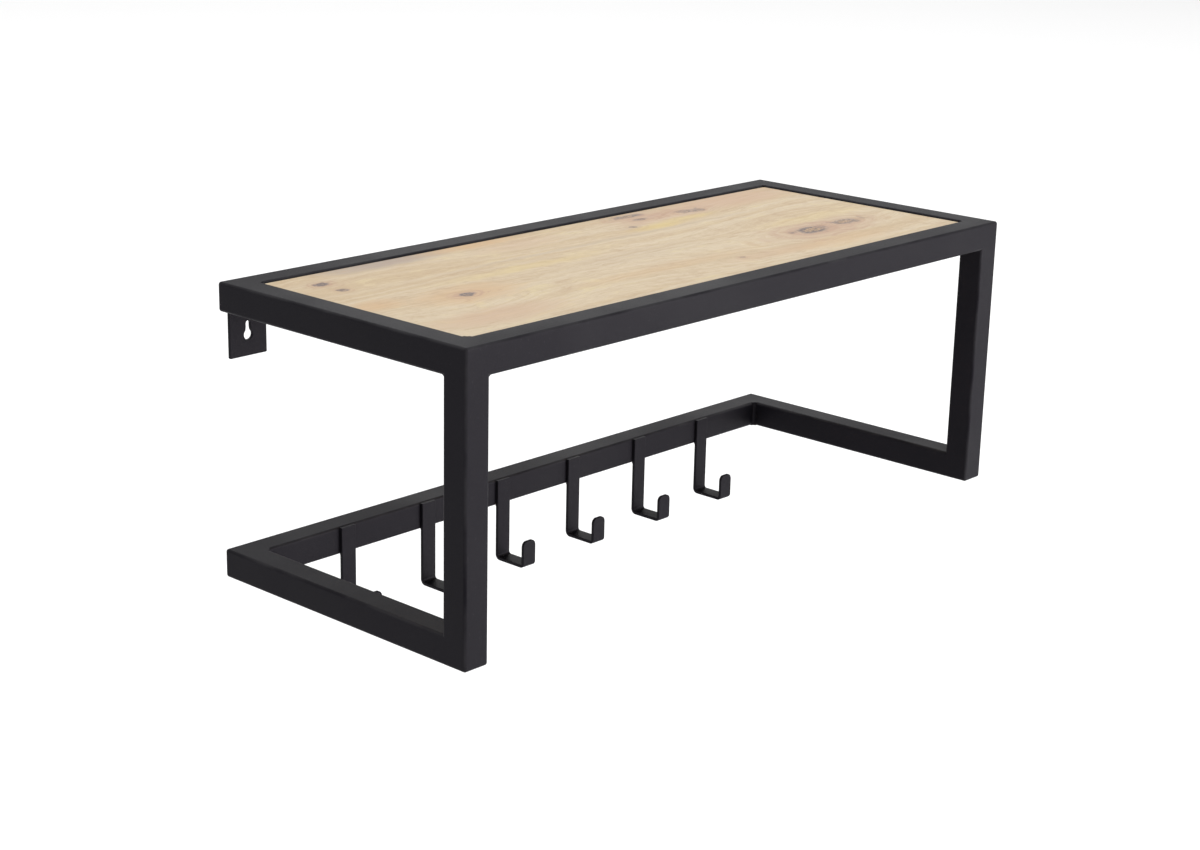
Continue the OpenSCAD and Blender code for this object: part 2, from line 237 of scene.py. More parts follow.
def tube_tree(finish):
    """A tube along X with a mitred or square end at each end of its Length.

    An end's turn says which side of the tube is the long, outer side of its mitre, and
    that corner is dressed to the tube's own edge radius.  Half the rings make each end,
    and dressing is how many of them go round the dressed corner.
    """
    tree, size = new_tree("mitred_tube", {
        "Length": 0.7, "Side": 0.025, "Corner": 0.0025,
        "Start turn": 0.0, "End turn": 0.0, "Start mitre": 1.0, "End mitre": 1.0})
    dressing = 6.0
    rings = 2 * int(dressing) + 4
    corner_steps = 5
    end_depth = 1.2
    edge_rub_and_highlight_gain = 1.4
    line = first(add(tree, "GeometryNodeCurvePrimitiveLine", (-1, 0, 0), (1, 0, 0)))
    line = first(add(tree, "GeometryNodeResampleCurve", line, None, rings))
    kept = add(tree, "GeometryNodeCaptureAttribute")
    kept.capture_items.new("FLOAT", "ring")
    tree.links.new(line, kept.inputs[0])
    tree.links.new(first(add(tree, "GeometryNodeInputIndex")), kept.inputs[1])
    ring = kept.outputs[1]
    section = first(add(tree, "GeometryNodeCurvePrimitiveQuadrilateral", size["Side"], size["Side"]))
    section = first(add(tree, "GeometryNodeFilletCurve", section, corner_steps, size["Corner"],
                        mode="POLY"))
    stock = add(tree, "GeometryNodeCurveToMesh", kept.outputs[0], section)
    stock.inputs["Fill Caps"].default_value = True

    _, y, z = parts(tree, first(add(tree, "GeometryNodeInputPosition")))
    half = maths(tree, "MULTIPLY", size["Side"], 0.5)
    flat = maths(tree, "SUBTRACT", half, size["Corner"])
    at_end = maths(tree, "GREATER_THAN", ring, rings / 2 - 0.5)
    step = maths(tree, "MINIMUM", ring, maths(tree, "SUBTRACT", rings - 1, ring))
    start_or_end = {}
    for word in ("turn", "mitre"):
        change = maths(tree, "SUBTRACT", size["End " + word], size["Start " + word])
        start_or_end[word] = maths(tree, "MULTIPLY_ADD", at_end, change, size["Start " + word])
    cos = maths(tree, "COSINE", start_or_end["turn"])
    sin = maths(tree, "SINE", start_or_end["turn"])
    mitre = start_or_end["mitre"]
    out = maths(tree, "MULTIPLY_ADD", y, cos, maths(tree, "MULTIPLY", z, sin))
    along = maths(tree, "SUBTRACT", maths(tree, "MULTIPLY", z, cos), maths(tree, "MULTIPLY", y, sin))
    inner = maths(tree, "MINIMUM", out, flat)
    proud = maths(tree, "MAXIMUM", maths(tree, "SUBTRACT", out, flat), 0.0)
    bend = maths(tree, "SUBTRACT", 1.0, maths(tree, "DIVIDE", step, dressing, clamp=True))
    bend = maths(tree, "MULTIPLY", maths(tree, "MULTIPLY", bend, math.pi / 4), mitre)
    # How far round an edge a point lies, for the coat's rubbed edges and their painted highlight
    over_y = maths(tree, "SUBTRACT", maths(tree, "ABSOLUTE", y), flat)
    over_z = maths(tree, "SUBTRACT", maths(tree, "ABSOLUTE", z), flat)
    around = maths(tree, "MINIMUM", over_y, over_z)
    around = maths(tree, "MAXIMUM", around, maths(tree, "MULTIPLY", proud, bend))
    around = maths(tree, "DIVIDE", around, size["Corner"])
    around = maths(tree, "MULTIPLY", around, edge_rub_and_highlight_gain, clamp=True)
    stock = first(add(tree, "GeometryNodeStoreNamedAttribute", stock.outputs[0], None, "edge",
                      around, data_type="FLOAT", domain="POINT"))
    # How far each point stands back from the end
    back = maths(tree, "SUBTRACT", half, inner)
    deep = maths(tree, "MULTIPLY", size["Side"], end_depth)
    share = maths(tree, "DIVIDE", step, dressing + 1)
    fade = maths(tree, "DIVIDE", maths(tree, "SUBTRACT", flat, inner), size["Side"])
    fade = maths(tree, "MULTIPLY", fade, share)
    back = maths(tree, "MULTIPLY_ADD", maths(tree, "SUBTRACT", deep, back), fade, back)
    back = maths(tree, "SUBTRACT", back, maths(tree, "MULTIPLY", proud, maths(tree, "SINE", bend)))
    square = maths(tree, "MULTIPLY", deep, share)
    back = maths(tree, "MULTIPLY_ADD", maths(tree, "SUBTRACT", back, square), mitre, square)
    out = maths(tree, "MULTIPLY_ADD", proud, maths(tree, "COSINE", bend), inner)
    side = maths(tree, "SIGN", maths(tree, "SUBTRACT", at_end, 0.5))
    x = maths(tree, "SUBTRACT", maths(tree, "MULTIPLY", size["Length"], 0.5), back)
    x = maths(tree, "MULTIPLY", x, side)
    new_y = maths(tree, "SUBTRACT", maths(tree, "MULTIPLY", out, cos), maths(tree, "MULTIPLY", along, sin))
    new_z = maths(tree, "MULTIPLY_ADD", out, sin, maths(tree, "MULTIPLY", along, cos))
    placed = first(add(tree, "GeometryNodeSetPosition", stock, None, joined(tree, x, new_y, new_z)))
    merged = first(add(tree, "GeometryNodeMergeByDistance", placed, None, weld_up))
    close_tree(tree, merged, finish)
    return tree


mitred_tube = tube_tree(coat)
half_turn = math.pi
quarter_turn = math.pi / 2
along_y = Matrix.Rotation(quarter_turn, 4, "Z")
down_z = Matrix.Rotation(quarter_turn, 4, "Y")
middle_x = (frame_length - tube_side) / 2
front_y = -frame_depth + tube_side / 2
rear_y = -tube_side / 2
shelf_z = shelf_top - tube_side / 2
lower_z = lower_top - tube_side / 2


def tube(node, length, place, turned=Matrix(), start=0.0, end=0.0, start_mitre=1.0):
    mesh = grown(node + "_tube", mitred_tube, {
        "Length": length, "Side": tube_side, "Corner": tube_corner,
        "Start turn": start, "End turn": end, "Start mitre": start_mitre, "End mitre": 1.0})
    mesh.transform(Matrix.Translation(place) @ turned)
    fitted("coated_" + node, mesh, node)


tube("top_front_rail", frame_length, (0, front_y, shelf_z), start=half_turn, end=half_turn)
tube("top_rear_rail", frame_length, (0, rear_y, shelf_z))
tube("hook_rail", frame_length, (0, rear_y, lower_z))
for side, hand in ((-1, "left"), (1, "right")):
    outward = 0.0 if side < 0 else half_turn
    tube("top_" + hand + "_rail", frame_depth, (side * middle_x, -frame_depth / 2, shelf_z),
         along_y, outward, outward)
    tube("lower_" + hand + "_rail", frame_depth, (side * middle_x, -frame_depth / 2, lower_z),
         along_y, -quarter_turn, outward)
    # A post is let into the weld fill between the rounded edges of the rails over it
    post_top = shelf_under + tube_corner
    tube(hand + "_post", post_top - lower_under,
         (side * middle_x, front_y, (post_top + lower_under) / 2),
         down_z, 0.0, half_turn, start_mitre=0.0)


# ---- Ground welds of the frame -------------------------------------------------------
# Fillets of weld metal in the frame's inside corners and under the shelf frame at
# the posts, dressed smooth with a grinder before the coat goes on.

post_fillet = {-1: 4.5 * MM, 1: 2.5 * MM}
rear_fillet = 3 * MM
board_fillet = 1 * MM
front_left_board_fillet = 3 * MM


def arc(middle, radius, start, end, steps):
    """Points on an arc.  Its start and end are in degrees."""
    turns = [math.radians(start + (end - start) * step / steps) for step in range(steps + 1)]
    return [(middle[0] + radius * math.cos(a), middle[1] + radius * math.sin(a)) for a in turns]


def dressed(name, node, runs):
    """Shows a group of dressed fillets as one piece.

    A run is its leg, the corner it starts in, its line with its length, and the two
    ways out of the corner.  Its flanks reach back under the tubes' rounded edges.
    """
    built = bmesh.new()
    for leg, corner, line, out, up in runs:
        section = arc((leg, leg), leg, 270, 180, 12)
        section += [(-tube_corner, leg), (-tube_corner, -tube_corner), (leg, -tube_corner)]
        corner, line, out, up = (Vector(v) for v in (corner, line, out, up))
        rims = []
        for share in (0, 1):
            rims.append([built.verts.new(corner + share * line + x * out + y * up)
                         for x, y in section])
            built.faces.new(rims[-1])
        for i in range(len(section)):
            built.faces.new((rims[0][i - 1], rims[0][i], rims[1][i], rims[1][i - 1]))
    bmesh.ops.recalc_face_normals(built, faces=built.faces)
    for face in built.faces:
        face.smooth = True
    mesh = bpy.data.meshes.new(name)
    built.to_mesh(mesh)
    built.free()
    mesh.set_sharp_from_angle(angle=crease_angle)
    mesh.materials.append(coat)
    fitted(name, mesh, node)


inner_x = frame_length / 2 - tube_side
inner_front = -frame_depth + tube_side
flat_width = tube_side - 2 * tube_corner
at_posts, at_board, at_rear = [], [], []
for side in (-1, 1):
    inward = (-side, 0, 0)
    at_posts += [
        (post_fillet[side], (side * inner_x, inner_front - tube_corner, shelf_under),
         (0, -flat_width, 0), inward, (0, 0, -1)),
        (post_fillet[side], (side * (inner_x + tube_corner), inner_front, shelf_under),
         (side * flat_width, 0, 0), (0, 1, 0), (0, 0, -1))]
    leg = front_left_board_fillet if side < 0 else board_fillet
    height = (0, 0, tube_side - tube_corner)
    low = shelf_under + tube_corner
    at_board += [
        (leg, (side * inner_x, inner_front, low), height, inward, (0, 1, 0)),
        (board_fillet, (side * inner_x, -tube_side, low), height, inward, (0, -1, 0))]
    at_rear.append((rear_fillet, (side * inner_x, -tube_side, lower_under),
                    (0, 0, tube_side), inward, (0, -1, 0)))
dressed("dressed_post_fillets", "post_welds", at_posts)
dressed("dressed_shelf_fillets", "shelf_corner_welds", at_board)
dressed("dressed_lower_fillets", "hook_rail_welds", at_rear)


# ---- Hooks ---------------------------------------------------------------------------
# Six lengths of 16 by 3 mm flat bar with eased edges, each bent twice to a J with a
# short lip whose corners are rounded, then welded by its back to the lower rear rail.

hook_low, hook_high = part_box("hook_1")
hook_width, hook_reach, _ = hook_high - hook_low
hook_thick = 3 * MM
hook_lip = 26 * MM
hook_count = 6


def hook_tree(finish):
    """A flat bar along a J path in the YZ plane, with its back on Y 0."""
    tree, size = new_tree("bent_hook", {
        "Width": 0.016, "Thickness": 0.003, "Top": 0.1, "Under": 0.0, "Reach": 0.037,
        "Lip": 0.026, "Back bend": 0.004, "Front bend": 0.003, "Tip corner": 0.0055,
        "Eased edge": 0.0006})
    tip_rings, bend_steps, edge_steps = 8, 10, 3
    index = first(add(tree, "GeometryNodeInputIndex"))
    path = first(add(tree, "GeometryNodeCurvePrimitiveLine", (0, 0, 0), (0, 0, 1)))
    path = first(add(tree, "GeometryNodeResampleCurve", path, None, 4 + tip_rings))
    half_thick = maths(tree, "MULTIPLY", size["Thickness"], 0.5)
    # Corner 0 is the top of the back, 1 and 2 are the bends, and the rest make the tip
    sweep = maths(tree, "DIVIDE", maths(tree, "SUBTRACT", index, 3.0), float(tip_rings))
    sweep = maths(tree, "MULTIPLY", maths(tree, "MAXIMUM", sweep, 0.0), quarter_turn)
    rise = maths(tree, "SUBTRACT", maths(tree, "SINE", sweep), 1.0)
    lip_z = maths(tree, "ADD", size["Under"], size["Lip"])
    lip_z = maths(tree, "MULTIPLY_ADD", rise, size["Tip corner"], lip_z)
    low_z = maths(tree, "ADD", size["Under"], half_thick)
    on_back = maths(tree, "LESS_THAN", index, 1.5)
    at_top = maths(tree, "LESS_THAN", index, 0.5)
    on_lip = maths(tree, "GREATER_THAN", index, 2.5)
    front = maths(tree, "SUBTRACT", half_thick, size["Reach"])
    back = maths(tree, "MULTIPLY", half_thick, -1.0)
    y = maths(tree, "MULTIPLY_ADD", on_back, maths(tree, "SUBTRACT", back, front), front)
    z = maths(tree, "MULTIPLY_ADD", at_top, maths(tree, "SUBTRACT", size["Top"], low_z), low_z)
    z = maths(tree, "MULTIPLY_ADD", on_lip, maths(tree, "SUBTRACT", lip_z, low_z), z)
    path = first(add(tree, "GeometryNodeSetPosition", path, None, joined(tree, 0.0, y, z)))
    # The bar narrows round the tip's corners, and its last edge is eased
    half_width = maths(tree, "MULTIPLY", size["Width"], 0.5)
    shy = maths(tree, "SUBTRACT", maths(tree, "COSINE", sweep), 1.0)
    narrow = maths(tree, "DIVIDE", maths(tree, "MULTIPLY", shy, size["Tip corner"]), half_width)
    narrow = maths(tree, "ADD", narrow, 1.0)
    short = maths(tree, "MULTIPLY_ADD", rise, size["Tip corner"], size["Eased edge"])
    short = maths(tree, "POWER", maths(tree, "MAXIMUM", short, 0.0), 2.0)
    chord = maths(tree, "SUBTRACT", maths(tree, "POWER", size["Eased edge"], 2.0), short)
    eased = maths(tree, "SUBTRACT", size["Eased edge"], maths(tree, "SQRT", chord))
    eased = maths(tree, "DIVIDE", eased, half_thick)
    kept = add(tree, "GeometryNodeCaptureAttribute")
    kept.capture_items.new("FLOAT", "narrow")
    kept.capture_items.new("FLOAT", "eased")
    for value, socket in zip((path, narrow, eased), kept.inputs):
        tree.links.new(value, socket)
    change = maths(tree, "SUBTRACT", size["Back bend"], size["Front bend"])
    radius = maths(tree, "MULTIPLY_ADD", on_back, change, size["Front bend"])
    at_bend = maths(tree, "MULTIPLY", maths(tree, "SUBTRACT", 1.0, at_top),
                    maths(tree, "SUBTRACT", 1.0, on_lip))
    radius = maths(tree, "MULTIPLY", radius, at_bend)
    bent = first(add(tree, "GeometryNodeFilletCurve", kept.outputs[0], bend_steps, radius,
                     mode="POLY"))
    bent = first(add(tree, "GeometryNodeSetCurveNormal", bent, mode="FREE"))
    tree.nodes[-1].inputs["Normal"].default_value = (1, 0, 0)
    bar = first(add(tree, "GeometryNodeCurvePrimitiveQuadrilateral", size["Width"], size["Thickness"]))
    bar = first(add(tree, "GeometryNodeFilletCurve", bar, edge_steps, size["Eased edge"],
                    mode="POLY"))
    swept = add(tree, "GeometryNodeCurveToMesh", bent, bar)
    swept.inputs["Fill Caps"].default_value = True
    x, y, z = parts(tree, first(add(tree, "GeometryNodeInputPosition")))
    x = maths(tree, "MULTIPLY", x, kept.outputs[1])
    y = maths(tree, "MULTIPLY_ADD", maths(tree, "SUBTRACT", front, y), kept.outputs[2], y)
    shaped = first(add(tree, "GeometryNodeSetPosition", first(swept), None, joined(tree, x, y, z)))
    close_tree(tree, shaped, finish)
    return tree


bent_hook = hook_tree(coat)
hook_middles = []
for number in range(1, hook_count + 1):
    node = "hook_%d" % number
    low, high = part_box(node)
    mesh = grown(node + "_bar", bent_hook, {
        "Width": hook_width, "Thickness": hook_thick, "Top": high.z, "Under": low.z,
        "Reach": hook_reach, "Lip": hook_lip})
    hook_middles.append((low.x + high.x) / 2)
    mesh.transform(Matrix.Translation((hook_middles[-1], high.y, 0)))
    fitted("coated_" + node, mesh, node)


# ---- Weld runs -----------------------------------------------------------------------
# Short runs of weld metal that are left as laid: one behind each hook under the rail,
# three round the top of each wall plate and one under each tab of the shelf board.
# Each is a row of overlapping ripples with a rounded end.

plate_low, plate_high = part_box("right_wall_plate")
plate_width, plate_thick, plate_drop = plate_high - plate_low
key_x = (plate_low.x + plate_high.x) / 2
tab_low, tab_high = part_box("rear_right_tab")
tab_width, tab_reach, tab_thick = tab_high - tab_low
tab_x = (tab_low.x + tab_high.x) / 2
tab_under = tab_low.z
run_short = 2 * MM
hook_run_radius, hook_run_in = 2.0 * MM, 0.8 * MM
plate_run_radius, plate_run_out = 2.3 * MM, 1.1 * MM
rear_run_radius, rear_run_y, rear_run_up = 1.25 * MM, -1.4 * MM, 0.5 * MM
end_run_radius, end_run_length = 1.6 * MM, 6 * MM
end_run_out, end_run_y, end_run_down = 0.5 * MM, -3.2 * MM, 0.6 * MM
tab_run_radius, tab_run_out = 0.9 * MM, 0.3 * MM
ripple_share = 0.6


def bead_tree(finish):
    """A run of weld along X with its crown on +Z.

    The low and high numbers are shares of the radius, and bow curves each ripple along
    the run.
    """
    tree, size = new_tree("weld_run", {
        "Length": 0.014, "Radius": 0.002, "Ripple": 0.0012, "Seed": 1})
    rings_per_ripple, sides, bow = 6.0, 14, 0.45
    ripple_low, uneven_low, uneven_high = 0.86, 0.88, 1.08
    crest_at, blunt_end, uneven_scale = 0.75, 1.02, 260.0
    rings = maths(tree, "MULTIPLY", size["Length"], rings_per_ripple)
    rings = maths(tree, "DIVIDE", rings, size["Ripple"])
    line = first(add(tree, "GeometryNodeCurvePrimitiveLine", (0, 0, 0), (1, 0, 0)))
    line = first(add(tree, "GeometryNodeResampleCurve", line, None, rings))
    share = first(add(tree, "GeometryNodeSplineParameter"))
    x = maths(tree, "MULTIPLY", maths(tree, "SUBTRACT", share, 0.5), size["Length"])
    line = first(add(tree, "GeometryNodeSetPosition", line, None, joined(tree, x, 0.0, 0.0)))
    # Each ripple swells and then drops to the next, and the run tapers at both ends
    wave = maths(tree, "FRACT", maths(tree, "DIVIDE", x, size["Ripple"]))
    wave = between(tree, wave, 0.0, crest_at, ripple_low, 1.0)
    from_end = maths(tree, "MINIMUM", share, maths(tree, "SUBTRACT", 1.0, share))
    from_end = maths(tree, "MULTIPLY", from_end, size["Length"])
    taper = maths(tree, "DIVIDE", from_end, size["Radius"], clamp=True)
    taper = maths(tree, "POWER", maths(tree, "SUBTRACT", 1.0, taper), 2.0)
    taper = maths(tree, "SQRT", maths(tree, "SUBTRACT", blunt_end, taper))
    place = joined(tree, maths(tree, "MULTIPLY", x, uneven_scale), size["Seed"], 0.0)
    uneven = between(tree, noise(tree, place, 1.0), 0.3, 0.7, uneven_low, uneven_high)
    radius = maths(tree, "MULTIPLY", maths(tree, "MULTIPLY", wave, taper), uneven)
    radius = maths(tree, "MULTIPLY", radius, size["Radius"])
    ring = add(tree, "GeometryNodeCurvePrimitiveCircle", mode="RADIUS")
    ring.inputs["Resolution"].default_value = sides
    ring.inputs["Radius"].default_value = 1.0
    swept = add(tree, "GeometryNodeCurveToMesh", line, ring.outputs[0])
    tree.links.new(radius, swept.inputs["Scale"])
    swept.inputs["Fill Caps"].default_value = True
    old_x, y, z = parts(tree, first(add(tree, "GeometryNodeInputPosition")))
    bowed = maths(tree, "MULTIPLY_ADD", z, bow, old_x)
    shaped = first(add(tree, "GeometryNodeSetPosition", first(swept), None, joined(tree, bowed, y, z)))
    close_tree(tree, shaped, finish)
    return tree


weld_run = bead_tree(coat)


def welded(name, node, runs):
    """Shows runs of weld as one piece.  A run is its length, radius, middle, line and crown."""
    every = bmesh.new()
    for seed, (length, radius, middle, line, crown) in enumerate(runs, 1):
        mesh = grown("run", weld_run, {
            "Length": length, "Radius": radius, "Ripple": ripple_share * radius, "Seed": seed})
        line, crown = Vector(line).normalized(), Vector(crown).normalized()
        turned = Matrix((line, crown.cross(line), crown)).transposed().to_4x4()
        mesh.transform(Matrix.Translation(middle) @ turned)
        every.from_mesh(mesh)
        bpy.data.meshes.remove(mesh)
    mesh = bpy.data.meshes.new(name)
    every.to_mesh(mesh)
    every.free()
    mesh.materials.append(coat)
    fitted(name, mesh, node)


hook_runs = []
for middle in hook_middles:
    place = (middle, hook_run_in - tube_side, lower_under - hook_run_in)
    hook_runs.append((hook_width - run_short, hook_run_radius, place, (1, 0, 0), (0, 1, -1)))
welded("hook_weld_runs", "hook_welds", hook_runs)

plate_runs = []
for side in (-1, 1):
    middle = side * key_x
    outer = middle + side * plate_width / 2
    low = shelf_under
    # In front of the plate, behind it, and round its outer edge
    plate_runs += [
        (plate_width + run_short, plate_run_radius,
         (middle, -plate_thick - plate_run_out, low - plate_run_out), (1, 0, 0), (0, -1, -1)),
        (plate_width, rear_run_radius, (middle, rear_run_y, low + rear_run_up),
         (1, 0, 0), (0, 1, 0)),
        (end_run_length, end_run_radius,
         (outer + side * end_run_out, end_run_y, low - end_run_down), (0, 1, 0), (side, 0, -1))]
welded("plate_weld_runs", "plate_welds", plate_runs)

tab_runs = []
for side in (-1, 1):
    for face, away in ((-frame_depth + tube_side, 1), (-tube_side, -1)):
        place = (side * tab_x, face + away * tab_run_out, tab_under - tab_run_out)
        tab_runs.append((tab_width - run_short, tab_run_radius, place, (1, 0, 0), (0, away, -1)))
welded("tab_weld_runs", "tab_welds", tab_runs)


# ---- Wall plates ---------------------------------------------------------------------
# Two plates of 3 mm steel stand under the rear rail's ends, flat against the wall.
# Each is punched with a keyhole, which hooks over the head of a wall screw.

key_foot = -plate_low.z
key_radius = 4.5 * MM
slot_radius = 2.4 * MM
key_rise = 9.5 * MM
throat = 0.68 * key_rise
plate_corner = 0.8 * MM
sheet_ease = 0.35 * MM


def plate_edge(inset):
    half = plate_width / 2 - inset
    low, high = -key_foot + inset, plate_drop - key_foot - inset
    loop = []
    for x, y, start in ((half, high, 0), (-half, high, 90), (-half, low, 180), (half, low, 270)):
        middle = (x - math.copysign(plate_corner, x), y - math.copysign(plate_corner, y))
        loop += arc(middle, plate_corner, start, start + 90, 4)
    return loop


def keyhole_edge(inset):
    """The keyhole's outline: a round opening, open at its top where it meets the slot."""
    wide, slim = key_radius + inset, slot_radius + inset
    open_each_way = 40
    return (arc((0, 0), wide, 90 + open_each_way, 450 - open_each_way, 28)
            + [(slim, throat)] + arc((0, key_rise), slim, 0, 180, 14) + [(-slim, throat)])


def eased_sheet(name, thickness, ease, finish, *edges):
    """A flat piece from Z 0 up whose rims are eased.

    An edge is a function that gives its loop of points when its rim stands in by a
    distance.  The first is the outline and the others are holes.
    """
    steps = 3
    levels = []
    for step in range(steps + 1):
        turn = quarter_turn * step / steps
        levels.append((ease * (1 - math.sin(turn)), ease * (1 - math.cos(turn))))
    levels += [(inset, thickness - height) for inset, height in reversed(levels)]
    built = bmesh.new()
    rims = []
    for edge in edges:
        loops = [[built.verts.new((x, y, height)) for x, y in edge(inset)]
                 for inset, height in levels]
        for low, high in zip(loops, loops[1:]):
            for i in range(len(low)):
                built.faces.new((low[i - 1], low[i], high[i], high[i - 1]))
        rims.append((loops[0], loops[-1]))
    for rim_loops in zip(*rims):
        rim = [built.edges.get((loop[i - 1], loop[i])) for loop in rim_loops for i in range(len(loop))]
        bmesh.ops.triangle_fill(built, edges=rim, use_beauty=True)
    bmesh.ops.recalc_face_normals(built, faces=built.faces)
    for face in built.faces:
        face.smooth = True
    mesh = bpy.data.meshes.new(name)
    built.to_mesh(mesh)
    built.free()
    mesh.materials.append(finish)
    return mesh


def evened(piece):
    """Keeps a piece's broad faces flat between its eased edges."""
    piece.modifiers.new("even_faces", "WEIGHTED_NORMAL").keep_sharp = True


upright = Matrix.Rotation(quarter_turn, 4, "X")
for side, hand in ((-1, "left"), (1, "right")):
    node = hand + "_wall_plate"
    mesh = eased_sheet(node + "_steel", plate_thick, sheet_ease, coat, plate_edge, keyhole_edge)
    mesh.transform(Matrix.Translation((side * key_x, 0, 0)) @ upright)
    evened(fitted("coated_" + node, mesh, node))


# ---- Tabs under the shelf board ------------------------------------------------------
# Four tabs of 3 mm steel with rounded free corners and one screw hole each.  They are
# welded to the inside faces of the long rails, and the board lies on them.

tab_corner = 5 * MM
tab_hole = 4.6 * MM
tab_hole_y = 11.5 * MM


def tab_edge(inset):
    half, far, near = tab_width / 2 - inset, tab_reach - inset, inset
    corner = tab_corner - inset
    return (arc((half - corner, far - corner), corner, 0, 90, 10)
            + arc((corner - half, far - corner), corner, 90, 180, 10)
            + [(-half, near), (half, near)])


def tab_hole_edge(inset):
    sides = 24
    return arc((0, tab_hole_y), tab_hole / 2 + inset, 0, 360 - 360 / sides, sides - 1)


for row, face, turned in (("front", -frame_depth + tube_side, 0.0), ("rear", -tube_side, half_turn)):
    for side, hand in ((-1, "left"), (1, "right")):
        node = row + "_" + hand + "_tab"
        mesh = eased_sheet(node + "_steel", tab_thick, sheet_ease, coat, tab_edge, tab_hole_edge)
        place = Matrix.Translation((side * tab_x, face, tab_under))
        mesh.transform(place @ Matrix.Rotation(turned, 4, "Z"))
        evened(fitted("coated_" + node, mesh, node))


# ---- Shelf board ---------------------------------------------------------------------
# One pale softwood board with a matt clear lacquer, its grain along the rack.  It lies
# on the tabs inside the frame, and its corners are cut off to clear the welds.

board_low, board_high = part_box("shelf_board")
board_long, board_wide, board_thick = board_high - board_low
cut_front_left = 3.2 * MM
cut_corner = 1.2 * MM
board_ease = 0.7 * MM

# Each knot: its middle along and across the board, half its length and half its width,
# all in mm from the board's middle, and how dark it is
knots = (
    (-228, -17, 9, 5, 1.0), (188, -47, 24, 13, 1.0), (243, -43, 20, 10, 0.7),
    (-290, 84, 6.5, 5, 1.0), (-290, 59, 4, 4, 0.7), (106, 107, 18, 7, 0.8),
    (103, 91, 12, 6, 0.65), (72, 71, 8, 6, 0.5), (175, 87, 14, 7, 0.55), (49, -79, 4, 2.5, 0.6))
# Each stain: its middle, half its length and half its width in mm, its colour and strength
pink, grey = (0.450, 0.295, 0.190), (0.300, 0.235, 0.195)
yellow, amber = (0.560, 0.430, 0.130), (0.490, 0.315, 0.160)
stains = (
    (-225, -16, 75, 34, amber, 0.75), (245, 100, 115, 38, pink, 0.9), (-255, -84, 90, 28, pink, 0.7),
    (-200, 113, 95, 22, grey, 0.9), (125, 88, 80, 24, pink, 0.65), (95, 60, 50, 12, yellow, 0.6),
    (142, 69, 58, 10, yellow, 0.5), (20, 48, 260, 5, grey, 0.3), (205, -52, 75, 28, pink, 0.6),
    (-60, 88, 70, 22, pink, 0.4), (-10, -10, 120, 22, grey, 0.12), (90, -85, 90, 16, pink, 0.4),
    (230, -10, 100, 18, yellow, 0.25), (-120, 20, 130, 12, yellow, 0.35), (-306, 2, 36, 20, amber, 0.8),
    (-95, 114, 80, 15, amber, 0.8), (175, -92, 100, 22, amber, 0.45), (-30, -60, 150, 14, amber, 0.3))


